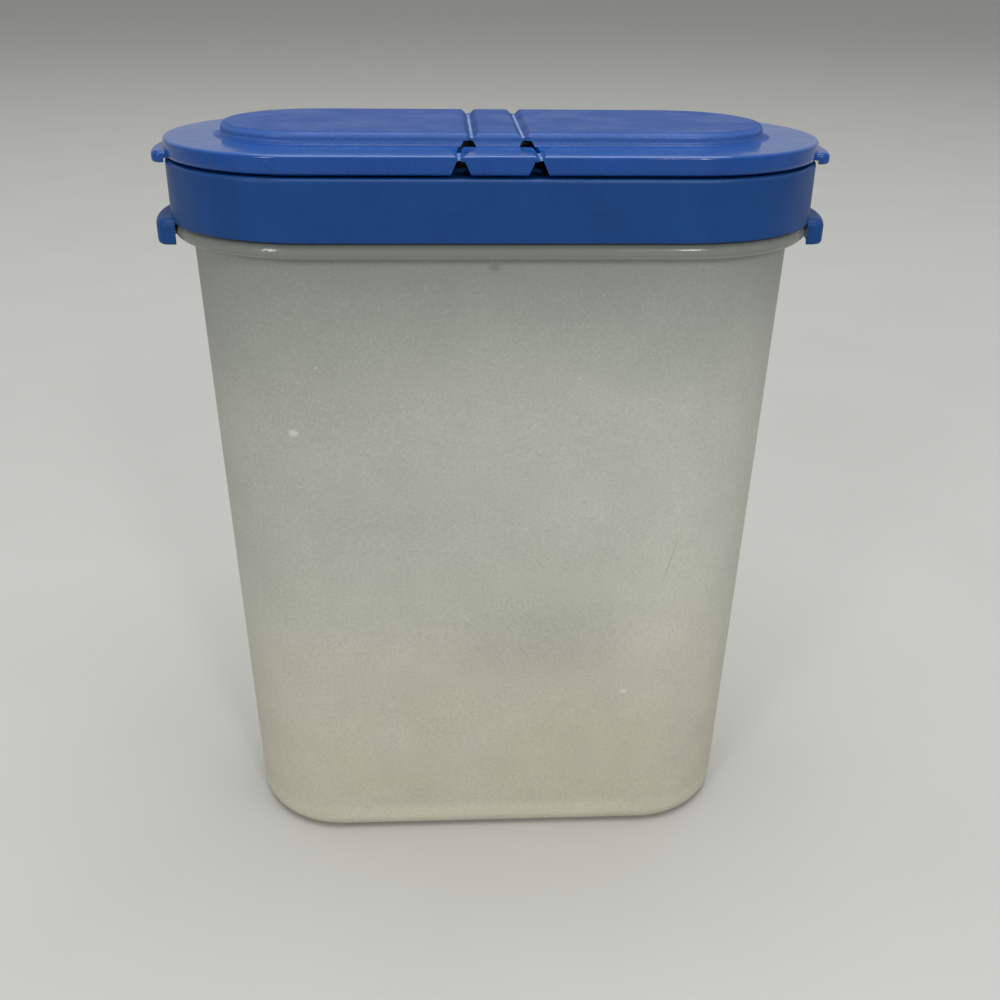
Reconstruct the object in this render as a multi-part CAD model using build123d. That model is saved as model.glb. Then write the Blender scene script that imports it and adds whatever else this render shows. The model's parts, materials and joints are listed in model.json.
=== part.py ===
from build123d import *
from math import radians, tan
import os

# A flip-top spice shaker: a tall oval container, a press-on lid with a sifting end and a spooning end,
# and a cover moulded in one piece, whose two flaps swing up from a fixed bridge on thin film hinges.
# X runs along the lid, Y from front to back, Z up. The origin is the middle of the base, on the table.

# The lid's oval outline. Every other oval outline is this one, drawn in by an inset.
lid_length = 100.0
lid_depth = 44.8

# Container
rim_height = 119.1
container_wall = 1.2
floor_thickness = 1.5
base_inset = 5.7
shoulder_inset = 3.0
neck_inset = 3.0
base_corner = 3.0
foot_width = 5.0
foot_recess = 0.5
bead_inset = 0.3
bead_height = 2.4
bead_lower_round = 0.95
bead_upper_round = 1.4
rim_bead_inset = 2.1
rim_bead_height = 1.4
rim_bead_drop = 0.8
rim_round = 0.4

# Lid
skirt_height = 8.9
deck_thickness = 1.4
skirt_wall = 1.5
skirt_top_round = 0.6
skirt_bottom_round = 0.15
catch_rib_depth = 0.3
catch_rib_height = 1.0
catch_rib_drop = 2.4
seal_ring_depth = 4.0
seal_ring_wall = 1.0
ear_reach = 2.3
ear_width = 17.5
ear_height = 3.9
ear_drop = 3.4
ear_top_round = 1.2
ear_side_round = 1.8
ear_bottom_round = 0.6

# Sifting holes and spoon opening in the deck
sift_hole_diameter = 3.6
sift_hole_pitch = 8.0
sift_row_spacing = 7.0
sift_first_hole = 14.0
outer_row_holes = 3
opening_inset = 10.9
opening_near_edge = 9.0
opening_corner = 3.0

# Cover
cover_wall = 1.5
cover_plate = 1.4
flange_height = 2.8
flange_round = 0.5
flange_bottom_round = 0.8
plateau_inset = 8.5
plateau_rise = 1.9
plateau_top_round = 0.85
plateau_cove = 0.7
tab_reach = 1.9
tab_width = 15.0
tab_drop = 0.7
tab_height = 1.7
tab_top_round = 0.7
tab_side_round = 1.5
tab_bottom_round = 0.5
plug_wall = 1.0
plug_reach = 1.2
press_rib_wall = 1.0

# Film hinges
main_hinge_offset = 3.7
film_width = 0.68
film_thickness = 0.4
film_end_inset = 0.3
groove_depth = 0.73
groove_slope = 46.0
side_hinge_shift = 1.95
side_film_width = 0.6
side_film_drop = 0.4
side_film_start = 3.1
side_groove_shift = 1.65
side_groove_width = 4.3
side_groove_end_shift = 1.8
side_groove_end_width = 1.2
window_shift = 0.5
window_top_width = 1.3
window_bottom_width = 2.7
slit_bend_shift = 1.6
slit_bend_reach = 0.7
slit_bend_width = 0.8
notch_shift = 1.7
notch_top_width = 1.2
notch_bottom_width = 3.0

# Bridge feet
foot_rib_width = 3.2
foot_rib_end_inset = 0.6
post_spacing = 18.0
post_diameter = 3.6
post_head_diameter = 4.8
post_head_height = 1.4
post_tip_diameter = 3.0

# Clearances
cover_gap = 0.3
skirt_gap = 0.1
seal_clearance = 0.3
ear_clearance = 0.3
tab_clearance = 0.3
plug_clearance = 0.35
press_rib_gap = 0.1
post_clearance = 0.1
post_head_gap = 0.1

# Places and heights worked out from the sizes above
side_hinge_offset = main_hinge_offset + side_hinge_shift
side_groove_offset = main_hinge_offset + side_groove_shift
side_groove_end_offset = main_hinge_offset + side_groove_end_shift
window_offset = main_hinge_offset + window_shift
slit_bend_offset = main_hinge_offset + slit_bend_shift
notch_offset = main_hinge_offset + notch_shift
deck_top = rim_height + deck_thickness
skirt_bottom = deck_top - skirt_height
bead_top = skirt_bottom - skirt_gap
bead_bottom = bead_top - bead_height
cover_bottom = deck_top + cover_gap
flange_top = cover_bottom + flange_height
plateau_top = flange_top + plateau_rise
film_top = plateau_top - groove_depth
film_bottom = film_top - film_thickness
side_film_top = flange_top - side_film_drop
side_film_bottom = side_film_top - film_thickness
plate_underside = plateau_top - cover_plate
flange_underside = flange_top - cover_plate
plateau_front = lid_depth / 2 - plateau_inset
main_film_end = plateau_front - film_end_inset
neck_bore_inset = neck_inset + container_wall
seal_ring_inset = neck_bore_inset + seal_clearance
beyond = lid_length


def oval(inset, height):
    """The lid's outline drawn in by inset, as a flat face at a height."""
    return Pos(0, 0, height) * SlotOverall(lid_length - 2 * inset, lid_depth - 2 * inset)


def slab(inset, low, high):
    """A plate with the oval outline, from one height to another."""
    return extrude(oval(inset, low), high - low)


def tapered(low_inset, low, high_inset, high):
    """An oval block whose sides slope evenly from one outline to the other."""
    return loft([oval(low_inset, low), oval(high_inset, high)], ruled=True)


def edges_at(shape, height):
    """The edges that lie level at a height."""
    return shape.edges().filter_by_position(Axis.Z, height, height)


def block(low_x, high_x, low_y, high_y, low_z, high_z):
    """A square-edged block between two corners."""
    size = (high_x - low_x, high_y - low_y, high_z - low_z)
    centre = Pos((low_x + high_x) / 2, (low_y + high_y) / 2, (low_z + high_z) / 2)
    return centre * Box(*size)


def bar(low_centre, low_width, low, high_centre, high_width, high, start, finish):
    """A bar running along Y between two places, of one width below and another above."""
    corners = [
        (low_centre - low_width / 2, low),
        (low_centre + low_width / 2, low),
        (high_centre + high_width / 2, high),
        (high_centre - high_width / 2, high),
    ]
    outline = Plane.XZ.offset(-max(start, finish)) * make_face(Polyline(*corners, close=True).edges())
    return extrude(outline, abs(finish - start))


def flat_shape(points, height):
    """A flat face at a height, from its corners in X and Y."""
    return Pos(0, 0, height) * make_face(Polyline(*points, close=True).edges())


def mirrored_ends(shape):
    """The shape together with its mirror image at the other end of the lid."""
    return [shape, mirror(shape, about=Plane.YZ)]


def make_container():
    body = tapered(base_inset, 0, shoulder_inset, bead_bottom + bead_lower_round)
    body = fillet(edges_at(body, 0), base_corner)
    bead = slab(bead_inset, bead_bottom, bead_top)
    bead = fillet(edges_at(bead, bead_bottom), bead_lower_round)
    bead = fillet(edges_at(bead, bead_top), bead_upper_round)
    neck = slab(neck_inset, bead_bottom, rim_height)
    rim_bead_top = rim_height - rim_bead_drop
    rim_bead = slab(rim_bead_inset, rim_bead_top - rim_bead_height, rim_bead_top)
    rim_bead = fillet(edges_at(rim_bead, rim_bead_top), rim_round)
    body = body + bead + neck + rim_bead
    inner_foot = foot_recess + floor_thickness
    hollow = tapered(base_inset + container_wall, inner_foot, neck_bore_inset, bead_bottom)
    hollow = fillet(edges_at(hollow, inner_foot), base_corner - container_wall)
    bore = slab(neck_bore_inset, bead_bottom, rim_height)
    recess = slab(base_inset + foot_width, 0, foot_recess)
    return body - hollow - bore - recess


def lug(reach, width, low, high, side_round, top_round, bottom_round):
    """A finger lug at the right-hand end, following the lid's outline at a distance."""
    lug_block = slab(-reach, low, high) & block(lid_length / 4, beyond, -width / 2, width / 2, low, high)
    corners = lug_block.edges().filter_by(Axis.Z).sort_by(Axis.X)[-2:]
    lug_block = fillet(corners, side_round)
    lug_block = fillet(edges_at(lug_block, high).sort_by(Axis.X)[-3:], top_round)
    return fillet(edges_at(lug_block, low).sort_by(Axis.X)[-3:], bottom_round)


def make_ear():
    """The pull ear at the right-hand end of the skirt."""
    low = skirt_bottom - ear_drop
    high = low + ear_height
    ear = lug(ear_reach, ear_width, low, high, ear_side_round, ear_top_round, ear_bottom_round)
    ear -= slab(bead_inset - ear_clearance, low, skirt_bottom)
    ear -= slab(skirt_wall / 2, skirt_bottom, high)
    return ear


def opening_outline(extra_inset):
    """The spoon opening's plan at the right-hand end, drawn in by a further inset."""
    near = opening_near_edge + extra_inset
    inset = opening_inset + extra_inset
    outline = oval(inset, 0) & (Pos(near + beyond / 2, 0) * Rectangle(beyond, beyond))
    corners = outline.vertices().sort_by(Axis.X)[:2]
    return fillet(corners, max(opening_corner - extra_inset, opening_corner / 2))


def opening_block(extra_inset, low, high):
    return extrude(Pos(0, 0, low) * opening_outline(extra_inset), high - low)


def sift_holes():
    holes = []
    middle = rim_height + deck_thickness / 2
    for row in (-1, 0, 1):
        count = outer_row_holes - 1 + abs(row)
        first = sift_first_hole + (1 - abs(row)) * sift_hole_pitch / 2
        for step in range(count):
            place = Pos(-first - step * sift_hole_pitch, row * sift_row_spacing, middle)
            holes.append(place * Cylinder(sift_hole_diameter / 2, 2 * deck_thickness))
    return holes


def post_places():
    return [(0, -post_spacing / 2), (0, post_spacing / 2)]


def make_lid_base():
    lid = slab(0, skirt_bottom, deck_top)
    lid = fillet(edges_at(lid, deck_top), skirt_top_round)
    lid = fillet(edges_at(lid, skirt_bottom), skirt_bottom_round)
    rib_top = rim_height - catch_rib_drop
    rib_bottom = rib_top - catch_rib_height
    lid -= slab(skirt_wall, skirt_bottom, rib_bottom)
    lid -= slab(skirt_wall + catch_rib_depth, rib_bottom, rib_top)
    lid -= slab(skirt_wall, rib_top, rim_height)
    ring = slab(seal_ring_inset, rim_height - seal_ring_depth, rim_height)
    ring -= slab(seal_ring_inset + seal_ring_wall, rim_height - seal_ring_depth, rim_height)
    lid += ring
    for ear in mirrored_ends(make_ear()):
        lid += ear
    for hole in sift_holes():
        lid -= hole
    lid -= opening_block(0, rim_height - deck_thickness, deck_top + deck_thickness)
    for x, y in post_places():
        lid -= Pos(x, y, rim_height + deck_thickness / 2) * Cylinder(
            post_diameter / 2 + post_clearance, 2 * deck_thickness
        )
    return lid


def cover_shell():
    """The whole cover before the hinge cuts divide it: flange, raised middle and hollow underside."""
    shell = slab(0, cover_bottom, flange_top)
    shell = fillet(edges_at(shell, cover_bottom), flange_bottom_round)
    shell += slab(plateau_inset, flange_top, plateau_top)
    shell = fillet(foot_edges(shell), plateau_cove)
    shell = fillet(edges_at(shell, plateau_top), plateau_top_round)
    shell = fillet(outer_edges(shell, flange_top), flange_round)
    shell -= slab(cover_wall, cover_bottom, flange_underside)
    shell -= slab(plateau_inset + cover_plate, cover_bottom, plate_underside)
    for tab in mirrored_ends(make_tab()):
        shell += tab
    return shell


def is_outer(edge):
    """Whether an edge lies on the lid's own outline, and not on the raised middle."""
    middle = edge.position_at(0.5)
    between = plateau_inset / 2
    return abs(middle.Y) > lid_depth / 2 - between or abs(middle.X) > lid_length / 2 - between


def foot_edges(shell):
    return ShapeList([edge for edge in edges_at(shell, flange_top) if not is_outer(edge)])


def outer_edges(shell, height):
    return ShapeList([edge for edge in edges_at(shell, height) if is_outer(edge)])


def make_tab():
    """The finger tab at the right-hand end of the cover, reaching down past its lower edge."""
    low = cover_bottom - tab_drop
    high = low + tab_height
    tab = lug(tab_reach, tab_width, low, high, tab_side_round, tab_top_round, tab_bottom_round)
    tab -= slab(-tab_clearance, low, cover_bottom)
    return tab - slab(cover_wall / 2, cover_bottom, high)


def side_groove(end):
    """The shallow valley over a side film, wide beside the raised middle and narrow at the rim."""
    foot = end * (plateau_front + plateau_cove)
    near = end * (plateau_front + side_film_start)
    far = end * (lid_depth / 2 + flange_round)
    film_low = side_hinge_offset - side_film_width / 2
    film_high = side_hinge_offset + side_film_width / 2
    foot_low = side_groove_offset - side_groove_width / 2
    foot_high = side_groove_offset + side_groove_width / 2
    far_low = side_groove_end_offset - side_groove_end_width / 2
    far_high = side_groove_end_offset + side_groove_end_width / 2
    bottom = [(film_low, near), (film_high, near), (film_high, far), (film_low, far)]
    top = [(foot_low, foot), (foot_high, foot), (far_high, far), (far_low, far)]
    return loft([flat_shape(bottom, side_film_top), flat_shape(top, flange_top)], ruled=True)


def slit(end):
    """The open slit that leads from the end of the long film to the start of a side film."""
    film_end = end * main_film_end
    bend = end * (plateau_front + slit_bend_reach)
    side_start = end * (plateau_front + side_film_start)
    corners = [
        (main_hinge_offset - film_width / 2, film_end),
        (main_hinge_offset + film_width / 2, film_end),
        (slit_bend_offset + slit_bend_width / 2, bend),
        (side_hinge_offset + side_film_width / 2, side_start),
        (side_hinge_offset - side_film_width / 2, side_start),
        (slit_bend_offset - slit_bend_width / 2, bend),
    ]
    return extrude(flat_shape(corners, cover_bottom), plateau_top - cover_bottom)


def hinge_cut():
    """What is cut away at the right-hand hinge: grooves, film slots, windows, slits and wall notches."""
    main = main_hinge_offset
    side = side_hinge_offset
    top_width = film_width + 2 * groove_depth * tan(radians(groove_slope))
    cut = bar(main, film_width, cover_bottom, main, film_width, film_top, -main_film_end, main_film_end)
    cut += bar(main, film_width, film_top, main, top_width, plateau_top, -beyond, beyond)
    for end in (-1, 1):
        start = end * (plateau_front + side_film_start)
        finish = end * beyond
        inner_wall = end * (plateau_front - cover_plate)
        outer_wall = end * (plateau_front + plateau_cove)
        window = window_offset
        low = window_bottom_width
        high = window_top_width
        cut += bar(side, side_film_width, cover_bottom, side, side_film_width, side_film_top, start, finish)
        cut += bar(window, low, side_film_top, window, high, film_bottom, inner_wall, outer_wall)
        notch = notch_offset
        low = notch_bottom_width
        high = notch_top_width
        cut += bar(notch, low, cover_bottom, notch, high, side_film_bottom, start, finish)
        cut += side_groove(end)
        cut += slit(end)
    return cut


def cover_pieces():
    """The cover divided at its hinges, from left to right: shaker flap, bridge, spoon flap."""
    shell = cover_shell()
    for cut in mirrored_ends(hinge_cut()):
        shell -= cut
    return shell.solids().sort_by(Axis.X)


def make_bridge(middle):
    half_width = foot_rib_width / 2
    half_length = plateau_front - foot_rib_end_inset
    bridge = middle + block(-half_width, half_width, -half_length, half_length, deck_top, plate_underside)
    head_top = rim_height - post_head_gap
    for x, y in post_places():
        post = Pos(x, y, (head_top + deck_top) / 2) * Cylinder(post_diameter / 2, deck_top - head_top)
        head = Pos(x, y, head_top - post_head_height / 2) * Cone(
            post_tip_diameter / 2, post_head_diameter / 2, post_head_height
        )
        bridge = bridge + post + head
    return bridge


def make_shaker_flap(left):
    low = deck_top + press_rib_gap
    rib = opening_block(0, low, plate_underside)
    rib -= opening_block(press_rib_wall, low, plate_underside)
    return left + mirror(rib, about=Plane.YZ)


def make_spoon_flap(right):
    low = deck_top - plug_reach
    plug = opening_block(plug_clearance, low, plate_underside)
    plug -= opening_block(plug_clearance + plug_wall, low, plate_underside)
    return right + plug


def main_film():
    """The long film at the right-hand hinge, along the raised middle."""
    return block(
        main_hinge_offset - film_width / 2,
        main_hinge_offset + film_width / 2,
        -main_film_end,
        main_film_end,
        film_bottom,
        film_top,
    )


def side_film(side, end):
    """A short film across the flange: side 1 is the right-hand hinge, end 1 is the rear."""
    near_x = side * (side_hinge_offset - side_film_width / 2)
    far_x = side * (side_hinge_offset + side_film_width / 2)
    inner_y = end * (plateau_front + side_film_start)
    outer_y = end * (lid_depth / 2 - flange_round)
    return block(
        min(near_x, far_x),
        max(near_x, far_x),
        min(inner_y, outer_y),
        max(inner_y, outer_y),
        side_film_bottom,
        side_film_top,
    )


os.makedirs("parts", exist_ok=True)
shaker_side, bridge_blank, spoon_side = cover_pieces()
parts = {
    "container_body": make_container(),
    "lid_base": make_lid_base(),
    "cover_bridge": make_bridge(bridge_blank),
    "shaker_flap": make_shaker_flap(shaker_side),
    "spoon_flap": make_spoon_flap(spoon_side),
}
spoon_main, shaker_main = mirrored_ends(main_film())
parts["shaker_hinge_film"] = shaker_main
parts["shaker_front_film"] = side_film(-1, -1)
parts["shaker_rear_film"] = side_film(-1, 1)
parts["spoon_hinge_film"] = spoon_main
parts["spoon_front_film"] = side_film(1, -1)
parts["spoon_rear_film"] = side_film(1, 1)
for name, shape in parts.items():
    export_step(shape, f"parts/{name}.step")
    print(name, len(shape.solids()), round(shape.volume, 1))
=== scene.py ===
import json
from math import cos, sin

import bpy
from mathutils import Matrix, Vector


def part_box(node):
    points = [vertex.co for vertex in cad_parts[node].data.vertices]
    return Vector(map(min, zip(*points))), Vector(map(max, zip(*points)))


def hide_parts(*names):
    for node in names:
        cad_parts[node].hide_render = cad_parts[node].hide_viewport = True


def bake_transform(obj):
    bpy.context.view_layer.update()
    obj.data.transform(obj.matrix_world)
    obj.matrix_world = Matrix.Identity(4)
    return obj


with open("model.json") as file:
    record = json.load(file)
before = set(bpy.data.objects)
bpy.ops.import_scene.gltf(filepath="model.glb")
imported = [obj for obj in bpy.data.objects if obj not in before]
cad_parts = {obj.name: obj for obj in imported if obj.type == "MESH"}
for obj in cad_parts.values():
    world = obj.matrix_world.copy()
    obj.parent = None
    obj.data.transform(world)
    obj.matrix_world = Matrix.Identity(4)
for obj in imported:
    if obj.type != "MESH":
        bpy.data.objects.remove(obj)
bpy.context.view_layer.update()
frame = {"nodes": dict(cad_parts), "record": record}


def middle(node):
    """The middle of a CAD node's box, in metres."""
    low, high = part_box(node)
    return (low + high) / 2


# The camera's place and clear range in metres, its angles in radians, its lens and sensor in millimetres
camera_place = (-0.00785, -0.17955, 0.14801)
camera_yaw = 0.0530
camera_pitch = 0.4530
camera_roll = 0.0120
camera_lens = 40.17
sensor_width = 36.0
nearest_seen = 0.01
farthest_seen = 50

# Heights on the shaker that the finishes follow, in metres
bead_bottom = 0.1091
skirt_bottom = 0.1116
skirt_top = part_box("lid_base")[1].z
flange_top = 0.1236
plateau_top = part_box("cover_bridge")[1].z

# The lid's oval outline in metres: half of its straight run, its ends' radius and where its lugs begin
straight_half = 0.0276
end_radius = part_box("lid_base")[1].y
lug_start = 0.0500

# Reaches out from the outline's long middle line, in metres, each from where a mask is 0 to where it is 1
bead_reach = (0.0197, 0.0202)
rim_reach = (end_radius - 0.0012, end_radius - 0.0004)
inner_reach = (end_radius - 0.0010, end_radius - 0.0014)
flange_reach = (0.0146, 0.0156)
plateau_reach = (0.0153, 0.0147)
groove_reach = (0.0136, 0.0132)

# The lines that the long and the short films bend along, in metres
main_film = middle("spoon_hinge_film")
side_film = middle("spoon_front_film")

# Distances from those lines in metres: where each stress-whitened line, partly a painted highlight, fades and
# shows, and the grooves' edges
main_whitening_highlight = (0.00024, 0.00010)
side_whitening_highlight = (0.00030, 0.00010)
groove_edges = (0.0014, 0.0011)

# The film strips: the share of their thickness lost along the middle, and the points across and along them
film_thinning = 0.35
film_steps_across = 13
film_steps_along = 41

# The studio: the table's side in metres, the brightness around it and the point that the lamps face
table_side = 30
world_brightness = 0.4
lamp_target = Vector((0, 0, 0.10))

# Each lamp's direction, its distance, width and height in metres and its power in watts
lamps = {
    "overhead_soft_box": ((0.02, -0.08, 1.0), 1.45, 1.4, 1.4, 20.0),
    "left_soft_box": ((-0.52, -0.765, 0.365), 1.1, 0.17, 0.20, 1.9),
    "right_soft_box": ((0.30, -0.820, 0.460), 1.1, 0.12, 0.20, 2.3),
}


def make_camera():
    forward_x = sin(camera_yaw) * cos(camera_pitch)
    forward_y = cos(camera_yaw) * cos(camera_pitch)
    forward = Vector((forward_x, forward_y, -sin(camera_pitch)))
    right = Vector((cos(camera_yaw), -sin(camera_yaw), 0))
    up = right.cross(forward)
    tilted_right = right * cos(camera_roll) + up * sin(camera_roll)
    tilted_up = up * cos(camera_roll) - right * sin(camera_roll)
    turn = Matrix((tilted_right, tilted_up, -forward)).transposed().to_4x4()
    data = bpy.data.cameras.new("camera")
    data.lens = camera_lens
    data.sensor_width = sensor_width
    data.clip_start = nearest_seen
    data.clip_end = farthest_seen
    camera = bpy.data.objects.new("camera", data)
    camera.matrix_world = Matrix.Translation(camera_place) @ turn
    bpy.context.scene.collection.objects.link(camera)
    bpy.context.scene.camera = camera


def linear(red, green, blue):
    """A screen colour, 0 to 255, as the linear values that shaders use, by the standard screen curve."""
    values = []
    for part in (red, green, blue):
        share = part / 255
        values.append(share / 12.92 if share <= 0.04045 else ((share + 0.055) / 1.055) ** 2.4)
    return (*values, 1)


# Tones of the milky container
lower_milk = linear(204, 203, 185)
middle_milk = linear(201, 203, 192)
# Painted shade: the shoulder under the lid is darker and greyer
shoulder_shade_milk = linear(160, 166, 158)
yellow_milk = linear(206, 199, 172)
shaded_milk = linear(140, 142, 132)
pale_milk = linear(236, 234, 222)
bead_milk = linear(124, 127, 120)
# Painted light: the tone of the pale band just above the base
painted_bounce_milk = linear(222, 219, 196)

# How far the container's tones wander up and down, and the heights between which they change, in metres
tone_drift = 0.02
lower_change = (0.005, 0.070)
# The shoulder's painted shade under the lid deepens between these heights
shoulder_shade_change = (0.076, 0.111)
yellowed_foot = (0.045, 0.018)
shaded_left = (0.032, 0.070)
fewer_grains = (0.080, 0.106)
# Heights of the painted band of light bounced from the table, above the base
band_top = (0.0068, 0.0044)
band_foot = (0.0006, 0.0036)
neck_start = (skirt_bottom + 0.0001, skirt_bottom + 0.0012)
bead_start = (bead_bottom + 0.0001, bead_bottom + 0.0006)

# Places along the container in metres: from its left, darkened with painted shade, to its right, and how its
# painted band of bounced light fades out
left_to_right = (-0.036, 0.030)
band_ends = (0.030, 0.016)

# Single marks on the container's front wall, each as its middle and its half sizes in metres; the dark patch
# is a painted shadow and the pale patch is painted light
yellow_patch = ((0.015, -0.017, 0.022), (0.020, 0.020, 0.014))
painted_shadow_patch = ((0.008, -0.0177, 0.042), (0.024, 0.020, 0.014))
painted_light_patch = ((0.032, -0.014, 0.048), (0.016, 0.020, 0.036))
left_rub = ((-0.0315, -0.0187, 0.0813), (0.0011, 0.003, 0.0008))
right_rub = ((0.0231, -0.0175, 0.0310), (0.0009, 0.003, 0.0006))
hair_scratch = ((0.0294, -0.0181, 0.0580), (0.00022, 0.006, 0.0062))
hair_turn = (0, 0.22, 0)
front_dimple = ((-0.0005, -0.0193, 0.1075), (0.0014, 0.002, 0.0012))

# Each blue: the plastic's own tone, its rubbed tone, which also paints light, and its darkest tone, which
# also paints shade
lid_tones = (linear(6, 63, 125), linear(62, 104, 168), linear(3, 50, 104))
cover_tones = (linear(14, 69, 144), linear(84, 124, 190), linear(8, 56, 122))
# The film's blue, and its stress-whitened tone that is partly a painted highlight
film_blue = linear(20, 72, 148)
whitened_highlit_blue = linear(138, 172, 222)

# The two tones of the table
table_dark = (0.475, 0.475, 0.450, 1)
table_pale = (0.515, 0.515, 0.490, 1)

plastic_ior = 1.49


def add_node(tree, kind, inputs=None, **settings):
    """A new node in the tree, with its settings made and its inputs linked or set."""
    node = tree.nodes.new(kind)
    for name, value in settings.items():
        setattr(node, name, value)
    for key, value in (inputs or {}).items():
        if isinstance(value, bpy.types.NodeSocket):
            tree.links.new(value, node.inputs[key])
        else:
            node.inputs[key].default_value = value
    return node


class Finish:
    """A material under construction, with the patterns that moulded plastic needs."""

    def __init__(self, name):
        self.material = bpy.data.materials.new(name)
        self.material.use_nodes = True
        self.tree = self.material.node_tree
        self.tree.nodes.clear()
        self.place = self.add("ShaderNodeTexCoord").outputs["Object"]
        split = self.add("ShaderNodeSeparateXYZ", {"Vector": self.place})
        self.x, self.y, self.z = split.outputs

    def add(self, kind, inputs=None, **settings):
        return add_node(self.tree, kind, inputs, **settings)

    def math(self, operation, first, second=0.0, clamp=False):
        ends = {0: first, 1: second}
        return self.add("ShaderNodeMath", ends, operation=operation, use_clamp=clamp).outputs[0]

    def times(self, first, second):
        return self.math("MULTIPLY", first, second)

    def plus(self, first, second, clamp=False):
        return self.math("ADD", first, second, clamp)

    def minus(self, first, second):
        return self.math("SUBTRACT", first, second)

    def most(self, first, second):
        return self.math("MAXIMUM", first, second)

    def unsigned(self, value):
        return self.math("ABSOLUTE", value)

    def spread(self, value, low, high, to_low=0.0, to_high=1.0):
        """The value's run from low to high, stretched smoothly to another run."""
        ends = {"Value": value, "From Min": low, "From Max": high, "To Min": to_low, "To Max": to_high}
        return self.add("ShaderNodeMapRange", ends, interpolation_type="SMOOTHSTEP").outputs["Result"]

    def share_from(self, share, to_low, to_high):
        """A share from 0 to 1 turned into a value from to_low to to_high."""
        return self.spread(share, 0.0, 1.0, to_low, to_high)

    def stretched(self, scale, turn=(0, 0, 0), shift=(0, 0, 0)):
        """The place on the object, scaled, turned and shifted for a pattern."""
        ends = {"Vector": self.place, "Scale": scale, "Rotation": turn, "Location": shift}
        return self.add("ShaderNodeMapping", ends).outputs["Vector"]

    def reach(self):
        """How far out from the long middle line of the oval outline."""
        along = self.most(self.minus(self.unsigned(self.x), straight_half), 0.0)
        flat = self.add("ShaderNodeCombineXYZ", {"X": along, "Y": self.y}).outputs[0]
        return self.add("ShaderNodeVectorMath", {0: flat}, operation="LENGTH").outputs["Value"]

    def noise(self, size, detail=2.0, roughness=0.5, place=None):
        """Soft noise with lumps of about the given size in metres."""
        ends = {"Vector": place or self.place, "Scale": 1 / size, "Detail": detail, "Roughness": roughness}
        return self.add("ShaderNodeTexNoise", ends).outputs["Fac"]

    def specks(self, spacing, size, place=None):
        """Round specks, about one in each cell of the spacing."""
        ends = {"Vector": place or self.place, "Scale": 1 / spacing, "Randomness": 1.0}
        far = self.add("ShaderNodeTexVoronoi", ends).outputs["Distance"]
        return self.spread(far, size / spacing, 0.4 * size / spacing)

    def scratches(self, length, width, turn, share, shift=(0, 0, 0)):
        """Fine scratches along one direction, each a little bent."""
        bend = self.add("ShaderNodeTexNoise", {"Vector": self.place, "Scale": 0.8 / length, "Detail": 1.0})
        ends = {0: bend.outputs["Color"], "Scale": 0.25 * length}
        sway = self.add("ShaderNodeVectorMath", ends, operation="SCALE").outputs[0]
        bent = self.add("ShaderNodeVectorMath", {0: self.place, 1: sway}, operation="ADD").outputs[0]
        scale = (1 / length, 1 / length, 1 / width)
        ends = {"Vector": bent, "Scale": scale, "Rotation": turn, "Location": shift}
        place = self.add("ShaderNodeMapping", ends).outputs["Vector"]
        lines = self.add("ShaderNodeTexNoise", {"Vector": place, "Scale": 1.0, "Detail": 1.0}).outputs["Fac"]
        return self.spread(lines, 1 - share, 1 - share + 0.05)

    def spot(self, centre, size, turn=(0, 0, 0), edge=0.6):
        """A soft-edged round or oval mark in one place, with its edge as a share of its size."""
        ends = {"Vector": self.place, "Location": centre, "Rotation": turn, "Scale": size}
        inside = self.add("ShaderNodeMapping", ends, vector_type="TEXTURE").outputs["Vector"]
        far = self.add("ShaderNodeVectorMath", {0: inside}, operation="LENGTH").outputs["Value"]
        return self.spread(far, 1.0, 1.0 - edge)

    def blend(self, share, first, second):
        """The first colour where the share is 0, the second where it is 1."""
        ends = {0: share, 6: first, 7: second}
        return self.add("ShaderNodeMix", ends, data_type="RGBA", blend_type="MIX").outputs[2]

    def tint(self, tone, towards, pattern, strength):
        """The tone turned towards another where the pattern is, as far as the strength says."""
        return self.blend(self.times(pattern, strength), tone, towards)

    def bump(self, height, distance, normal=None):
        """A relief of the height pattern, its distance in metres, on top of another if one is given."""
        ends = {"Height": height, "Distance": distance, "Strength": 1.0}
        if normal:
            ends["Normal"] = normal
        return self.add("ShaderNodeBump", ends).outputs["Normal"]

    def plastic(self, tone, rough, normal, shine=0.5, glow=0.0):
        """The finished material: a plastic shell, which light shines through where glow is over 0."""
        ends = {"Base Color": tone, "Roughness": rough, "Normal": normal}
        ends.update({"IOR": plastic_ior, "Specular IOR Level": shine})
        surface = self.add("ShaderNodeBsdfPrincipled", ends).outputs[0]
        if glow > 0:
            lit = self.add("ShaderNodeBsdfTranslucent", {"Color": tone, "Normal": normal}).outputs[0]
            surface = self.add("ShaderNodeMixShader", {0: glow, 1: surface, 2: lit}).outputs[0]
        return self.finish(surface)

    def finish(self, shader):
        output = self.add("ShaderNodeOutputMaterial")
        self.tree.links.new(shader, output.inputs["Surface"])
        return self.material


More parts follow.
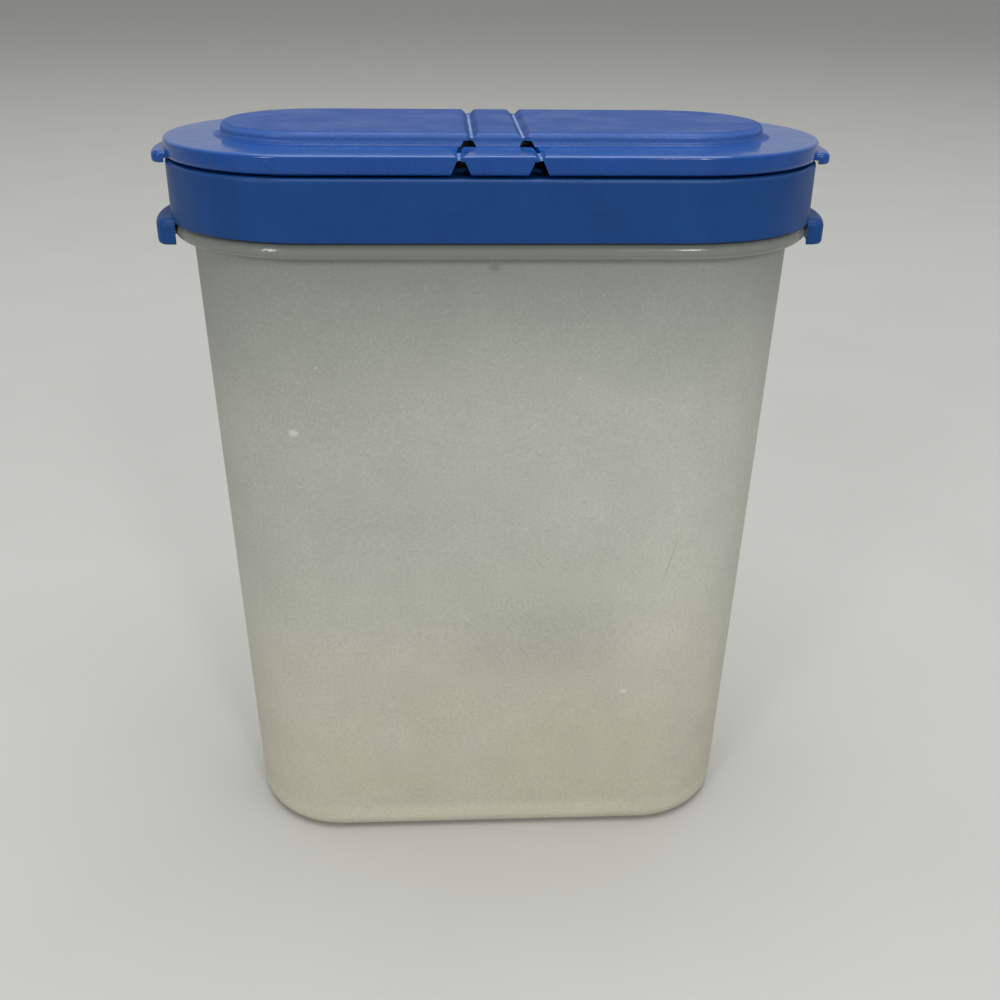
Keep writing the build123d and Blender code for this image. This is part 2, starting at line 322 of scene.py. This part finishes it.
def aged_milk_with_painted_light(f, clouds):
    """The container's ground tone: greyer and darker towards the shoulder as painted shade, yellowed and
    patchy towards the base, with painted shade on the left, a painted shadow patch, a painted light patch and
    a painted band of bounced light above the base.
    """
    drift = f.times(f.minus(f.noise(size=0.030), 0.5), tone_drift)
    height = f.plus(f.z, drift)
    tone = f.blend(f.spread(height, *lower_change), lower_milk, middle_milk)
    # Painted shade: darker and greyer towards the shoulder, under the lid
    tone = f.blend(f.spread(height, *shoulder_shade_change), tone, shoulder_shade_milk)
    blotches = f.spread(f.noise(size=0.016, detail=3.0), 0.35, 0.65)
    yellowed = f.times(blotches, f.spread(f.z, *yellowed_foot))
    tone = f.tint(tone, yellow_milk, yellowed, 0.45)
    tone = f.tint(tone, yellow_milk, f.spot(*yellow_patch, edge=1.0), 0.45)
    # Painted shadow: a soft dark patch on the front wall
    tone = f.tint(tone, shaded_milk, f.spot(*painted_shadow_patch, edge=1.0), 0.22)
    # Painted shade: the left side darker
    leftward = f.spread(f.x, *left_to_right, 0.24, 0.0)
    tone = f.tint(tone, shaded_milk, leftward, f.spread(f.z, *shaded_left))
    # Painted light: a soft pale patch towards the right end
    tone = f.tint(tone, pale_milk, f.spot(*painted_light_patch, edge=1.0), 0.22)
    tone = f.tint(tone, shaded_milk, clouds, 0.10)
    # Painted light: a pale band just above the base, for light bounced from the table
    band = f.times(f.spread(f.z, *band_top), f.spread(f.z, *band_foot, 0.6, 1.0))
    band = f.times(band, f.spread(f.unsigned(f.x), *band_ends, 0.55, 1.0))
    return f.tint(tone, painted_bounce_milk, band, 0.65)


def grainy_milk(f, tone):
    """The container's tone with its fine grain, pale flecks and dark dots."""
    grains = f.noise(size=0.00045, detail=4.0, roughness=0.8)
    tone = f.blend(f.spread(grains, 0.30, 0.49, 0.30, 0.0), tone, shaded_milk)
    pale_grains = f.spread(grains, 0.51, 0.70, 0.0, 0.30)
    tone = f.tint(tone, pale_milk, pale_grains, f.spread(f.z, *fewer_grains, 1.0, 0.5))
    tone = f.tint(tone, pale_milk, f.specks(spacing=0.009, size=0.00028), 0.35)
    dots_place = f.stretched(scale=(1, 1, 1), turn=(0.5, 0.2, 0.9), shift=(0.02, 0.01, 0.03))
    return f.tint(tone, shaded_milk, f.specks(spacing=0.007, size=0.00022, place=dots_place), 0.45)


def frosted_container():
    """Milky polypropylene, yellowed with age: satin walls, a polished shoulder bead."""
    f = Finish("frosted_container")
    clouds = f.spread(f.noise(size=0.009, detail=4.0, roughness=0.6), 0.3, 0.7)
    tone = grainy_milk(f, aged_milk_with_painted_light(f, clouds))
    scuffs = f.scratches(length=0.010, width=0.00030, turn=(0.2, 0.5, 0.3), share=0.26)
    more_scuffs = f.scratches(length=0.008, width=0.00025, turn=(0.1, -0.9, 0.2), share=0.25)
    scuffs = f.most(scuffs, more_scuffs)
    tone = f.tint(tone, pale_milk, scuffs, 0.12)
    tone = f.tint(tone, pale_milk, f.most(f.spot(*left_rub), f.spot(*right_rub)), 0.55)
    tone = f.tint(tone, shaded_milk, f.spot(*hair_scratch, hair_turn), 0.25)
    dimple = f.spot(*front_dimple, edge=0.9)
    tone = f.tint(tone, shaded_milk, dimple, 0.8)
    tone = f.blend(f.spread(f.z, *neck_start, 0.0, 0.8), tone, middle_milk)
    polished = f.times(f.spread(f.z, *bead_start), f.spread(f.reach(), *bead_reach))
    tone = f.tint(tone, bead_milk, polished, 0.75)
    rough = f.share_from(polished, 0.52, 0.15)
    rough = f.plus(rough, f.times(f.minus(clouds, 0.5), 0.06))
    rough = f.plus(rough, f.times(scuffs, 0.08), clamp=True)
    frosting = f.noise(size=0.00035, roughness=0.6)
    relief = f.times(frosting, f.share_from(polished, 1.0, 0.06))
    relief = f.minus(relief, f.times(scuffs, 0.5))
    relief = f.minus(relief, f.times(dimple, 4.0))
    normal = f.bump(relief, distance=0.00004)
    normal = f.bump(f.noise(size=0.012, detail=1.0), distance=0.0004, normal=normal)
    return f.plastic(tone, rough, normal, glow=0.18)


def crossed_scratches(f):
    """Fine scratches in three directions."""
    scratches = f.scratches(length=0.008, width=0.00018, turn=(0.3, 0.45, 0.2), share=0.25)
    crossing = f.scratches(length=0.006, width=0.00018, turn=(0.9, -0.8, 0.8), share=0.25)
    scratches = f.most(scratches, crossing)
    shift = (0.3, 0.1, 0.2)
    steep = f.scratches(length=0.005, width=0.00018, turn=(1.4, 0.2, 1.3), share=0.25, shift=shift)
    return f.most(scratches, steep)


def inside_grooves(f, out):
    """Where the cover's two V grooves are, beside its long films."""
    from_film = f.unsigned(f.minus(f.unsigned(f.x), main_film.x))
    grooves = f.spread(from_film, *groove_edges)
    grooves = f.times(grooves, f.spread(f.z, plateau_top, plateau_top - 0.0003))
    grooves = f.times(grooves, f.spread(f.z, main_film.z - 0.0004, main_film.z - 0.0001))
    return f.times(grooves, f.spread(out, *groove_reach))


def blue_plastic(name, tones, polish, matt, gloss, lift, edge_low, edge_high, inner_top):
    """Blue plastic: polished walls and rim, a matt middle, rubbed paler along an edge and on the finger lugs.

    Its tones are its own, its rubbed and its darkest one; the rubbed one also serves as painted light and the
    darkest as painted shade. Polish and matt are the roughness of the walls and of the middle, and gloss is
    the specular level outside the dull faces. Lift is how far the flange's top and the raised middle's wall
    are painted paler as painted light. The rubbed edge lies between edge_low and edge_high. Inner faces are
    dull below inner_top.
    """
    f = Finish(name)
    own, pale, dark = tones
    out = f.reach()

    # The mottled ground tone
    clouds = f.spread(f.noise(size=0.008, detail=3.0, roughness=0.6), 0.3, 0.7)
    tone = f.tint(own, dark, clouds, 0.32)
    streaks = f.noise(size=0.004, detail=3.0, roughness=0.6, place=f.stretched(scale=(1, 1, 0.35)))
    tone = f.blend(f.spread(streaks, 0.40, 0.70, 0.0, 0.14), tone, dark)
    tone = f.blend(f.spread(f.noise(size=0.0012), 0.35, 0.65, 0.0, 0.05), tone, dark)
    grains = f.noise(size=0.0004, detail=3.0, roughness=0.7)
    tone = f.blend(f.spread(grains, 0.45, 0.7, 0.0, 0.06), tone, pale)

    # Wear along the rim's edge and on the lugs, and painted light on the wall of the raised middle
    rim = f.times(f.spread(f.z, edge_low, edge_high), f.spread(out, *rim_reach))
    rubbed = f.times(rim, f.spread(f.noise(size=0.006, detail=3.0, roughness=0.6), 0.35, 0.7))
    on_lug = f.spread(f.unsigned(f.x), lug_start, lug_start + 0.002)
    handled = f.times(on_lug, f.spread(f.noise(size=0.0015, detail=3.0), 0.35, 0.7, 0.0, 0.4))
    worn = f.most(rubbed, handled)
    tone = f.tint(tone, pale, worn, 0.12)
    # Painted light: the raised middle's wall turned paler
    wall_foot = f.spread(f.z, edge_high + 0.0002, edge_high + 0.0006)
    wall_top = f.spread(f.z, plateau_top, plateau_top - 0.0005)
    tone = f.tint(tone, pale, f.times(wall_foot, wall_top), 2 * lift)

    # Scratches and nicks
    marks = f.most(crossed_scratches(f), f.specks(spacing=0.009, size=0.00022))
    tone = f.tint(tone, pale, marks, 0.12)

    # Painted light on the flange's top, and painted shade in the dark grooves
    top = f.spread(f.z, edge_high - 0.0003, edge_high - 0.0001)
    tone = f.tint(tone, pale, f.times(top, f.spread(out, *flange_reach)), lift)
    grooves = inside_grooves(f, out)
    # Painted shade: the V grooves turned darker
    tone = f.tint(tone, dark, grooves, 0.6)

    # Polish: dull inside and in the grooves, matt in the middle, brighter on the rim
    inner = f.times(f.spread(out, *inner_reach), f.spread(f.z, inner_top, inner_top - 0.0002))
    dull = f.most(inner, grooves)
    unpolished = f.most(f.times(top, f.spread(out, *plateau_reach)), dull)
    rough = f.share_from(unpolished, polish, matt)
    rough = f.times(rough, f.share_from(rim, 1.0, 0.65))
    rough = f.plus(rough, f.times(f.minus(clouds, 0.5), f.share_from(unpolished, 0.06, 0.16)))
    rough = f.plus(rough, f.times(f.most(marks, worn), 0.08), clamp=True)
    shine = f.plus(f.share_from(dull, gloss, 0.08), f.times(rim, 0.25))

    # Relief: a fine texture, strongest where it is matt, on top of a slight waviness
    relief = f.minus(f.noise(size=0.0005), f.times(marks, 0.6))
    relief = f.times(relief, f.share_from(unpolished, 0.7, 4.5))
    normal = f.bump(relief, distance=0.000015)
    normal = f.bump(f.noise(size=0.008, detail=1.0), distance=0.0002, normal=normal)
    return f.plastic(tone, rough, normal, shine)


def flexed_film():
    """The cover's blue stretched thin and paled by bending, with a painted highlight on the pale line, most
    along the line that bends.
    """
    f = Finish("flexed_film")
    across = f.unsigned(f.x)
    main = f.spread(f.unsigned(f.minus(across, main_film.x)), *main_whitening_highlight)
    side = f.spread(f.unsigned(f.minus(across, side_film.x)), *side_whitening_highlight)
    fibres = f.noise(size=0.0006, detail=3.0, roughness=0.7, place=f.stretched(scale=(1, 0.25, 1)))
    # Stress whitening and a painted highlight along the lines that bend
    bent = f.times(f.most(main, side), f.spread(fibres, 0.30, 0.65, 0.4, 1.0))
    tone = f.blend(bent, film_blue, whitened_highlit_blue)
    rough = f.share_from(bent, 0.40, 0.22)
    ripples = f.noise(size=0.0003, roughness=0.6, place=f.stretched(scale=(1, 0.3, 1)))
    normal = f.bump(ripples, distance=0.00003)
    return f.plastic(tone, rough, normal, shine=0.35, glow=0.15)


def pale_table():
    f = Finish("pale_table")
    tone = f.blend(f.noise(size=0.05, detail=3.0), table_dark, table_pale)
    return f.finish(f.add("ShaderNodeBsdfPrincipled", {"Base Color": tone, "Roughness": 0.6}).outputs[0])


def film_strip_tree():
    """The rule for every film strip: a thin strip, thinnest along its middle, in its place."""
    tree = bpy.data.node_groups.new("film_strip", "GeometryNodeTree")
    face = tree.interface
    for name in ("Width", "Length", "Thickness", "Thinning"):
        face.new_socket(name, in_out="INPUT", socket_type="NodeSocketFloat")
    face.new_socket("Place", in_out="INPUT", socket_type="NodeSocketVector")
    face.new_socket("Steps Across", in_out="INPUT", socket_type="NodeSocketInt")
    face.new_socket("Steps Along", in_out="INPUT", socket_type="NodeSocketInt")
    face.new_socket("Finish", in_out="INPUT", socket_type="NodeSocketMaterial")
    face.new_socket("Geometry", in_out="OUTPUT", socket_type="NodeSocketGeometry")

    def maths(operation, *values):
        return add_node(tree, "ShaderNodeMath", dict(enumerate(values)), operation=operation).outputs[0]

    given = add_node(tree, "NodeGroupInput").outputs
    ends = {"X": given["Width"], "Y": given["Length"], "Z": given["Thickness"]}
    size = add_node(tree, "ShaderNodeCombineXYZ", ends).outputs[0]
    ends = {"Size": size, "Vertices X": given["Steps Across"], "Vertices Y": given["Steps Along"]}
    ends["Vertices Z"] = 2
    strip = add_node(tree, "GeometryNodeMeshCube", ends).outputs["Mesh"]
    point = add_node(tree, "GeometryNodeInputPosition").outputs[0]
    split = add_node(tree, "ShaderNodeSeparateXYZ", {0: point}).outputs
    share = maths("DIVIDE", split["X"], given["Width"])
    square = maths("MULTIPLY", share, share)
    dip = maths("MULTIPLY_ADD", square, -4, 1)
    thinned = maths("MULTIPLY", dip, given["Thinning"])
    drop = maths("MULTIPLY", thinned, split["Z"])
    offset = add_node(tree, "ShaderNodeCombineXYZ", {"Z": maths("MULTIPLY", drop, -1)}).outputs[0]
    shaped = add_node(tree, "GeometryNodeSetPosition", {"Geometry": strip, "Offset": offset}).outputs[0]
    ends = {"Geometry": shaped, "Translation": given["Place"]}
    moved = add_node(tree, "GeometryNodeTransform", ends).outputs[0]
    real = add_node(tree, "GeometryNodeRealizeInstances", {0: moved}).outputs[0]
    ends = {"Geometry": real, "Material": given["Finish"]}
    painted = add_node(tree, "GeometryNodeSetMaterial", ends).outputs[0]
    add_node(tree, "NodeGroupOutput", {"Geometry": painted})
    return tree


def film_strip(name, tree, sizes):
    """One film strip, made by the tree and turned into a plain mesh with smooth broad faces."""
    holder = bpy.data.objects.new(name + "_maker", bpy.data.meshes.new(name + "_maker"))
    bpy.context.scene.collection.objects.link(holder)
    modifier = holder.modifiers.new("film_strip", "NODES")
    modifier.node_group = tree
    for socket in tree.interface.items_tree:
        if socket.name in sizes:
            modifier[socket.identifier] = sizes[socket.name]
    bpy.context.view_layer.update()
    seen = holder.evaluated_get(bpy.context.evaluated_depsgraph_get())
    mesh = bpy.data.meshes.new_from_object(seen)
    bpy.data.objects.remove(holder)
    mesh.name = name
    piece = bpy.data.objects.new(name, mesh)
    bpy.context.scene.collection.objects.link(piece)
    for polygon in mesh.polygons:
        polygon.use_smooth = abs(polygon.normal.z) > 0.7
    return piece


def hang_films(finish):
    """A strip in each film's place, between its edge at the bridge and its edge at the flap, which stands in
    for the hidden CAD film.
    """
    tree = film_strip_tree()
    for flap, side in (("shaker", -1), ("spoon", 1)):
        for where in ("hinge", "front", "rear"):
            node = f"{flap}_{where}_film"
            low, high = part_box(node)
            width, length, thickness = high - low
            place = middle(node)
            sizes = {
                "Width": width,
                "Length": length,
                "Thickness": thickness,
                "Thinning": film_thinning,
                "Place": tuple(place),
                "Steps Across": film_steps_across,
                "Steps Along": film_steps_along,
                "Finish": finish,
            }
            piece = film_strip(node + "_strip", tree, sizes)
            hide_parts(node)
            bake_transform(piece)


def dress_nodes(finishes):
    """Each CAD node in the finish of its material slot."""
    for part in frame["record"]["subparts"]:
        if part["material_slot"] in finishes:
            piece = frame["nodes"][part["node"]]
            piece.data.materials.clear()
            piece.data.materials.append(finishes[part["material_slot"]])


def area_lamp(name, direction, distance, width, height, power):
    """A soft box that faces the lid from a direction."""
    place = lamp_target + Vector(direction).normalized() * distance
    data = bpy.data.lights.new(name, "AREA")
    data.shape = "RECTANGLE"
    data.size = width
    data.size_y = height
    data.energy = power
    lamp = bpy.data.objects.new(name, data)
    lamp.location = place
    lamp.rotation_euler = (lamp_target - place).to_track_quat("-Z", "Y").to_euler()
    bpy.context.scene.collection.objects.link(lamp)


def make_studio():
    bpy.ops.mesh.primitive_plane_add(size=table_side, location=(0, 0, 0))
    table = bpy.context.object
    table.name = "table"
    table.data.materials.append(pale_table())
    world = bpy.data.worlds.new("studio")
    bpy.context.scene.world = world
    world.use_nodes = True
    world.node_tree.nodes["Background"].inputs["Color"].default_value = (1.0, 1.0, 1.0, 1)
    world.node_tree.nodes["Background"].inputs["Strength"].default_value = world_brightness
    for name, facts in lamps.items():
        area_lamp(name, *facts)
    bpy.context.scene.view_settings.view_transform = "Standard"


make_camera()
lid_finish = blue_plastic(
    "lid_blue",
    lid_tones,
    polish=0.44,
    matt=0.5,
    gloss=0.25,
    lift=0.0,
    edge_low=skirt_top - 0.0006,
    edge_high=skirt_top,
    inner_top=skirt_top + 0.001,
)
cover_finish = blue_plastic(
    "cover_blue",
    cover_tones,
    polish=0.15,
    matt=0.42,
    gloss=0.33,
    lift=0.20,
    edge_low=flange_top - 0.0006,
    edge_high=flange_top,
    inner_top=flange_top - 0.0003,
)
dress_nodes({"container": frosted_container(), "lid": lid_finish, "cover": cover_finish})
hang_films(flexed_film())
make_studio()
